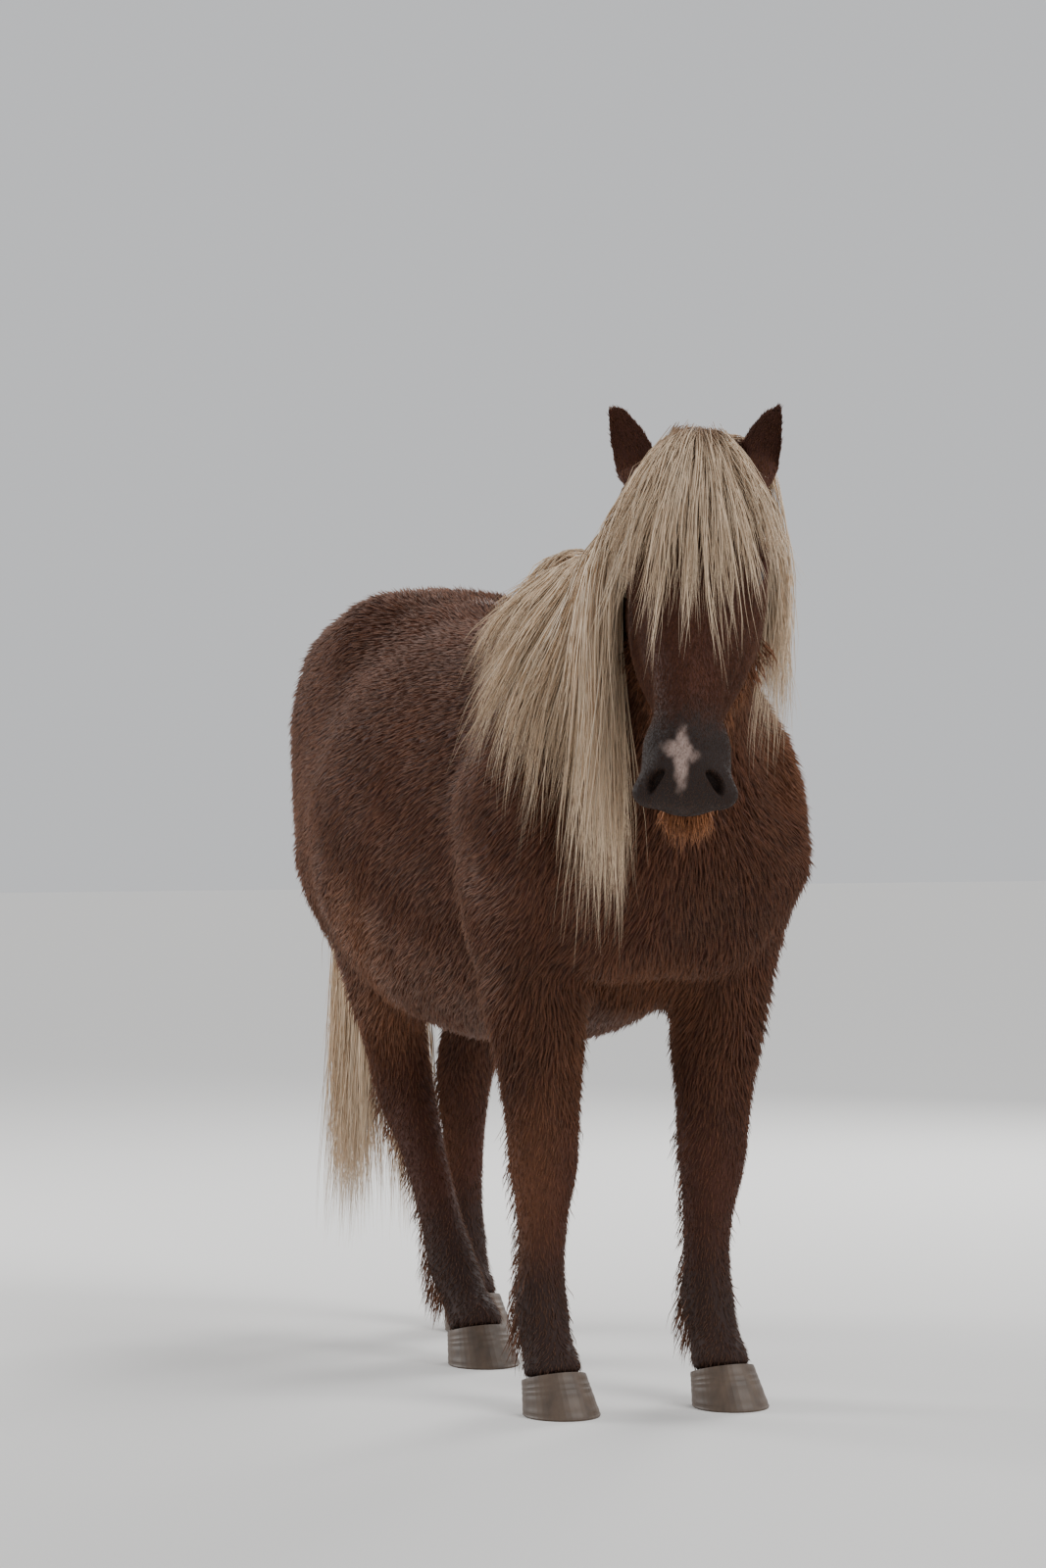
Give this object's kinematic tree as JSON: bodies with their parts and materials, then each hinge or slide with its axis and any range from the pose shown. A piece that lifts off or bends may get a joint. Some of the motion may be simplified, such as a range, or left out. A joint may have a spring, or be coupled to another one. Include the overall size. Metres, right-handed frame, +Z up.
{
  "type": "icelandic horse",
  "caption": "Life-size still model of an Icelandic horse in winter coat, halted in mid-walk with its head turned, its long mane and forelock hanging; stands on its hooves.",
  "frame": {"origin": "middle of the bounding box's foot, on the ground that the hooves stand on", "axes": "+X to the horse's left, +Y to its tail, +Z up"},
  "size_m": [0.672, 1.8226, 1.6079],
  "materials": {
    "coat": "thick plush winter coat, dark chestnut",
    "hair": "long coarse hair, pale flaxen",
    "horn": "satin ridged horn",
    "eye": "wet and glossy, very dark brown"
  },
  "bodies": {
    "root": {"head": "coat", "ear_left": "coat", "ear_right": "coat", "eye_left": "eye", "eye_right": "eye", "neck": "coat", "torso": "coat", "leg_fore_left": "coat", "leg_fore_right": "coat", "leg_hind_left": "coat", "leg_hind_right": "coat", "hoof_fore_left": "horn", "hoof_fore_right": "horn", "hoof_hind_left": "horn", "hoof_hind_right": "horn", "tail": "hair"}
  },
  "joints": []
}
